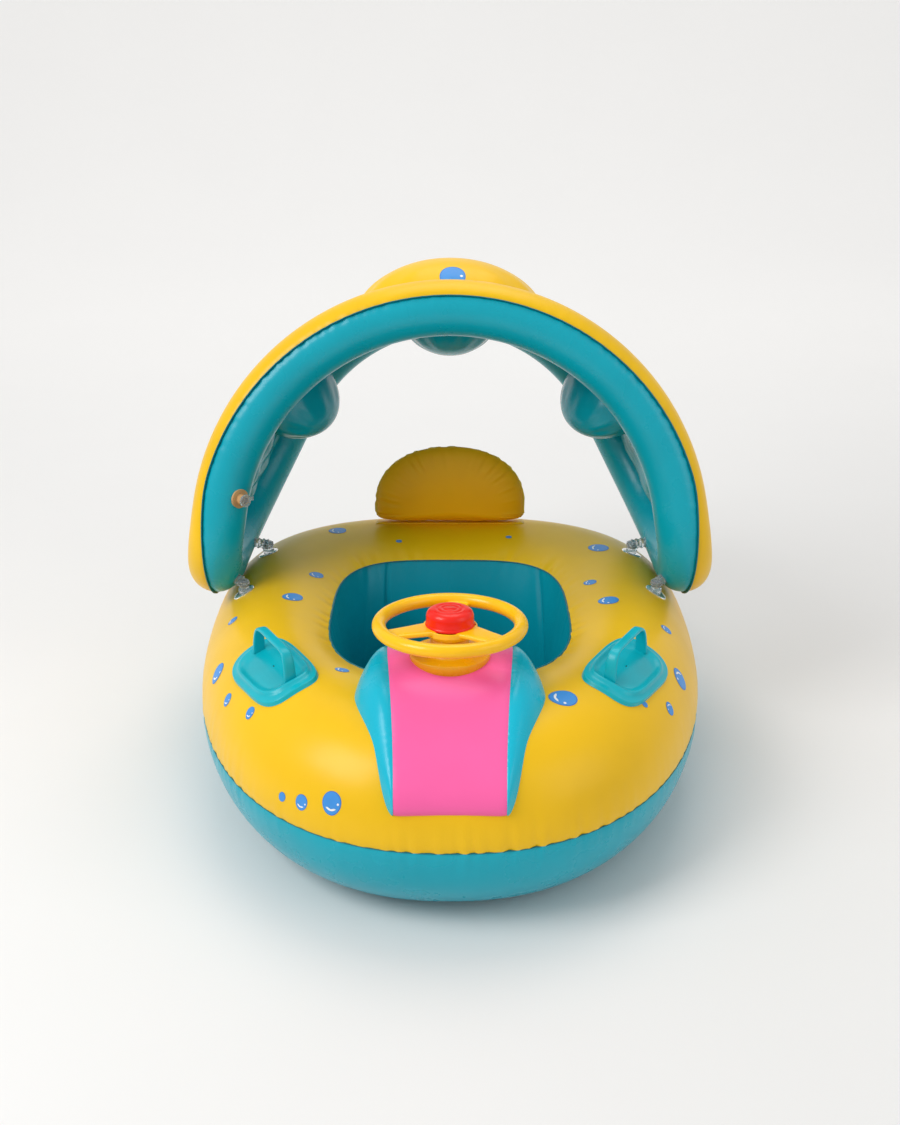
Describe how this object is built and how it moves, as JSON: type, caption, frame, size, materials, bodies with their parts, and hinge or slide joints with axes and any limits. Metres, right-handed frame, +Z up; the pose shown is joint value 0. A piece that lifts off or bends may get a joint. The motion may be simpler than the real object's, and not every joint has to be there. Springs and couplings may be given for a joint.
{
  "type": "inflatable baby float seat",
  "caption": "Inflatable oval pool seat for a baby, with a lift-off arched sun canopy, backrest, grab handles and a console with a toy steering wheel and squeaker horn.",
  "frame": {"origin": "on the ground, under the middle of the float's overall box", "axes": "+Z up, -Y the front with the steering wheel, +X the seated child's left"},
  "size_m": [0.614, 0.7003, 0.5511],
  "materials": {
    "yellow_pvc": "soft PVC film, satin",
    "teal_pvc": "soft PVC film, satin",
    "pink_pvc": "soft PVC film, satin",
    "orange_pvc": "soft PVC film, satin",
    "weld_pvc": "pressed weld",
    "teal_handle": "soft moulded PVC",
    "clear_pvc": "clear moulded PVC",
    "stopper_pvc": "clear tan moulded PVC",
    "wheel_plastic": "moulded, glossy",
    "horn_plastic": "soft moulded PVC, satin",
    "reed_plastic": "plain",
    "fastener_steel": "plated"
  },
  "bodies": {
    "float": {"backrest_tab": "orange_pvc", "connector_socket_front_left": "clear_pvc", "connector_socket_front_right": "clear_pvc", "connector_socket_rear_left": "clear_pvc", "connector_socket_rear_right": "clear_pvc", "console_side_left": "teal_pvc", "console_side_right": "teal_pvc", "console_strip": "pink_pvc", "handle_plate_left": "teal_handle", "handle_plate_right": "teal_handle", "handle_strap_left": "teal_handle", "handle_strap_right": "teal_handle", "ring_bottom_skin_back": "teal_pvc", "ring_bottom_skin_front": "teal_pvc", "ring_bottom_skin_left": "teal_pvc", "ring_bottom_skin_right": "teal_pvc", "ring_seam_weld": "weld_pvc", "ring_top_skin_back": "yellow_pvc", "ring_top_skin_front": "yellow_pvc", "ring_top_skin_left": "yellow_pvc", "ring_top_skin_right": "yellow_pvc", "ring_valve_stem": "clear_pvc", "seat_sling": "teal_pvc", "seat_wall_back": "teal_pvc", "seat_wall_front": "teal_pvc", "seat_wall_left": "teal_pvc", "seat_wall_right": "teal_pvc", "steering_base": "wheel_plastic", "wheel_screw": "fastener_steel", "wheel_washer": "fastener_steel"},
    "wheel": {"steering_wheel": "wheel_plastic", "horn_bellows": "horn_plastic"},
    "horn": {"horn_button": "horn_plastic", "squeaker_reed": "reed_plastic"},
    "backrest": {"backrest_pillow": "orange_pvc", "backrest_valve_stem": "clear_pvc"},
    "canopy": {"canopy_inner_sheet": "teal_pvc", "canopy_lobe_inner_left": "teal_pvc", "canopy_lobe_inner_middle": "teal_pvc", "canopy_lobe_inner_right": "teal_pvc", "canopy_lobe_outer_left": "yellow_pvc", "canopy_lobe_outer_middle": "yellow_pvc", "canopy_lobe_outer_right": "yellow_pvc", "canopy_outer_sheet": "yellow_pvc", "canopy_tube_end_left": "yellow_pvc", "canopy_tube_end_right": "yellow_pvc", "canopy_tube_front": "yellow_pvc", "canopy_tube_rear": "yellow_pvc", "canopy_valve_stem": "clear_pvc", "connector_plug_front_left": "clear_pvc", "connector_plug_front_right": "clear_pvc", "connector_plug_rear_left": "clear_pvc", "connector_plug_rear_right": "clear_pvc"},
    "canopy_stopper": {"canopy_valve_stopper": "stopper_pvc"},
    "ring_stopper": {"ring_valve_stopper": "stopper_pvc"},
    "backrest_stopper": {"backrest_valve_stopper": "stopper_pvc"}
  },
  "joints": [
    {"name": "wheel_spin", "type": "hinge", "parent": "float", "child": "wheel", "pos_m": [0, -0.2, 0.231], "axis": [0, 0.0593, 0.9982], "continuous": true},
    {"name": "horn_press", "type": "slide", "parent": "wheel", "child": "horn", "axis": [0, -0.0593, -0.9982], "range_m": [0, 0.006], "stiffness_N_per_m": 400, "deforming": ["horn_bellows"]},
    {"name": "backrest_tilt", "type": "hinge", "parent": "float", "child": "backrest", "pos_m": [0, 0.258, 0.203], "axis": [1, 0, 0], "range_deg": [-18, 10], "stiffness_Nm_per_rad": 2},
    {"name": "canopy_lift", "type": "slide", "parent": "float", "child": "canopy", "axis": [0, 0, 1], "range_m": [0, 0.03]},
    {"name": "canopy_stopper_pull", "type": "slide", "parent": "canopy", "child": "canopy_stopper", "axis": [0.7199, -0.6937, -0.0225], "range_m": [0, 0.009]},
    {"name": "ring_stopper_pull", "type": "slide", "parent": "float", "child": "ring_stopper", "axis": [0, 0.7507, 0.6606], "range_m": [0, 0.009]},
    {"name": "backrest_stopper_pull", "type": "slide", "parent": "backrest", "child": "backrest_stopper", "axis": [0, 1, 0], "range_m": [0, 0.009]}
  ]
}
